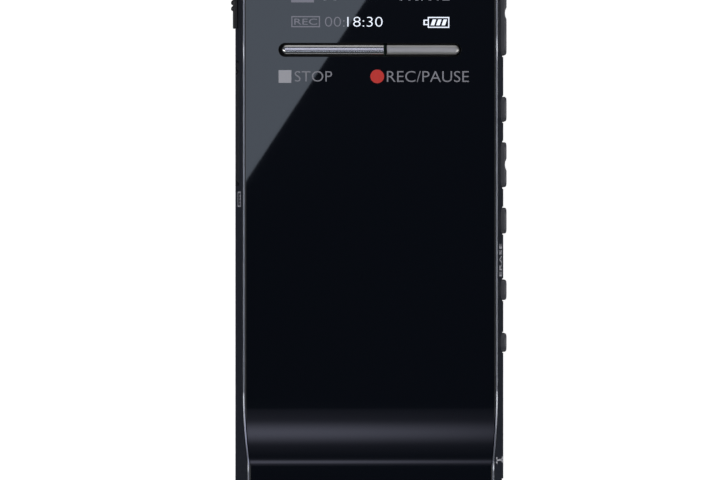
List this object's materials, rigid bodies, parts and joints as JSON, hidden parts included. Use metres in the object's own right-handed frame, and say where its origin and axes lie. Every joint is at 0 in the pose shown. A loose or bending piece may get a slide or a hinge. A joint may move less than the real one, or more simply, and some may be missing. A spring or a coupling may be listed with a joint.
{
  "type": "handheld voice recorder",
  "caption": "Slim glossy black pocket voice recorder with a display under its front panel, a metal stop and record bar, side keys, a hold slider and a memory card door.",
  "frame": {"origin": "middle of the back face, under the centre of the bounding box, where the recorder lies on a table", "axes": "+X to the display's right (key side), +Y from the jack end towards the microphones, +Z out of the display"},
  "size_m": [0.0254, 0.102, 0.0077],
  "materials": {
    "panel_black": "high gloss acrylic",
    "trim_metal": "fine satin edge",
    "frame_black": "satin dark paint",
    "cover_black": "fine satin paint",
    "cap_black": "gloss",
    "grille_metal": "perforated sheet",
    "bar_metal": "brushed",
    "key_plastic": "semi gloss",
    "slider_plastic": "ribbed",
    "door_plastic": "satin",
    "lens_red": "clear tinted",
    "board_green": "solder mask",
    "flex_amber": "polyimide film",
    "chip_black": "moulded",
    "shield_tin": "tinned",
    "cell_wrap": "foil",
    "pad_foam": "adhesive foam",
    "display_glass": "display glass",
    "holder_plastic": "moulded",
    "socket_steel": "plated",
    "socket_plastic": "moulded",
    "screw_steel": "blackened",
    "pin_steel": "ground",
    "mesh_fabric": "fine mesh",
    "boot_rubber": "soft",
    "capsule_metal": "nickel can",
    "wire_red": "insulated"
  },
  "bodies": {
    "recorder": {"rear_cover": "cover_black", "side_frame": "frame_black", "front_panel": "panel_black", "bezel_trim": "trim_metal", "top_cap": "cap_black", "mic_grille_left": "grille_metal", "mic_grille_right": "grille_metal", "indicator_lens": "lens_red", "front_switches": "chip_black", "side_key_flex": "flex_amber", "side_key_domes": "shield_tin", "slide_switch": "chip_black", "card_door_pin": "pin_steel", "microsd_socket": "socket_steel", "main_pcb": "board_green", "io_pcb": "board_green", "link_flex": "flex_amber", "soc_shield": "shield_tin", "processor": "chip_black", "flash_memory": "chip_black", "oled_display": "display_glass", "display_holder": "holder_plastic", "display_flex": "flex_amber", "battery": "cell_wrap", "battery_pad": "pad_foam", "battery_leads": "wire_red", "battery_connector": "holder_plastic", "headphone_jack": "socket_plastic", "usb_socket": "socket_steel", "speaker": "holder_plastic", "speaker_mesh": "mesh_fabric", "left_microphone": "capsule_metal", "right_microphone": "capsule_metal", "left_mic_boot": "boot_rubber", "right_mic_boot": "boot_rubber", "microphone_flex": "flex_amber", "case_screws": "screw_steel", "board_screws": "screw_steel", "strap_pin": "pin_steel"},
    "stop_button": {"stop_button": "bar_metal"},
    "record_button": {"record_button": "bar_metal"},
    "volume_rocker": {"volume_rocker": "key_plastic"},
    "play_key": {"play_key": "key_plastic"},
    "skip_rocker": {"skip_rocker": "key_plastic"},
    "menu_key": {"menu_key": "key_plastic"},
    "erase_key": {"erase_key": "key_plastic"},
    "mark_key": {"mark_key": "key_plastic"},
    "power_slider": {"power_hold_slider": "slider_plastic", "slide_switch_lever": "holder_plastic"},
    "card_door": {"card_door": "door_plastic"}
  },
  "joints": [
    {"name": "stop_press", "type": "slide", "parent": "recorder", "child": "stop_button", "axis": [0, 0, -1], "range_m": [0, 0.00025], "stiffness_N_per_m": 800, "springref_m": -0.0005},
    {"name": "record_press", "type": "slide", "parent": "recorder", "child": "record_button", "axis": [0, 0, -1], "range_m": [0, 0.00025], "stiffness_N_per_m": 800, "springref_m": -0.0005},
    {"name": "volume_rock", "type": "hinge", "parent": "recorder", "child": "volume_rocker", "pos_m": [0.01075, 0.00225, 0.0039], "axis": [0, 0, 1], "range_deg": [-3, 3], "stiffness_Nm_per_rad": 0.05},
    {"name": "play_press", "type": "slide", "parent": "recorder", "child": "play_key", "axis": [-1, 0, 0], "range_m": [0, 0.00025], "stiffness_N_per_m": 800, "springref_m": -0.0005},
    {"name": "skip_rock", "type": "hinge", "parent": "recorder", "child": "skip_rocker", "pos_m": [0.01075, -0.0117, 0.0039], "axis": [0, 0, 1], "range_deg": [-3.5, 3.5], "stiffness_Nm_per_rad": 0.02},
    {"name": "menu_press", "type": "slide", "parent": "recorder", "child": "menu_key", "axis": [-1, 0, 0], "range_m": [0, 0.00025], "stiffness_N_per_m": 800, "springref_m": -0.0005},
    {"name": "erase_press", "type": "slide", "parent": "recorder", "child": "erase_key", "axis": [-1, 0, 0], "range_m": [0, 0.00025], "stiffness_N_per_m": 800, "springref_m": -0.0005},
    {"name": "mark_press", "type": "slide", "parent": "recorder", "child": "mark_key", "axis": [-1, 0, 0], "range_m": [0, 0.00025], "stiffness_N_per_m": 800, "springref_m": -0.0005},
    {"name": "power_slide", "type": "slide", "parent": "recorder", "child": "power_slider", "axis": [0, 1, 0], "range_m": [-0.0012, 0.0012]},
    {"name": "card_door_hinge", "type": "hinge", "parent": "recorder", "child": "card_door", "pos_m": [-0.0115, -0.01271, 0.004], "axis": [0, 0, 1], "range_deg": [0, 90]}
  ]
}
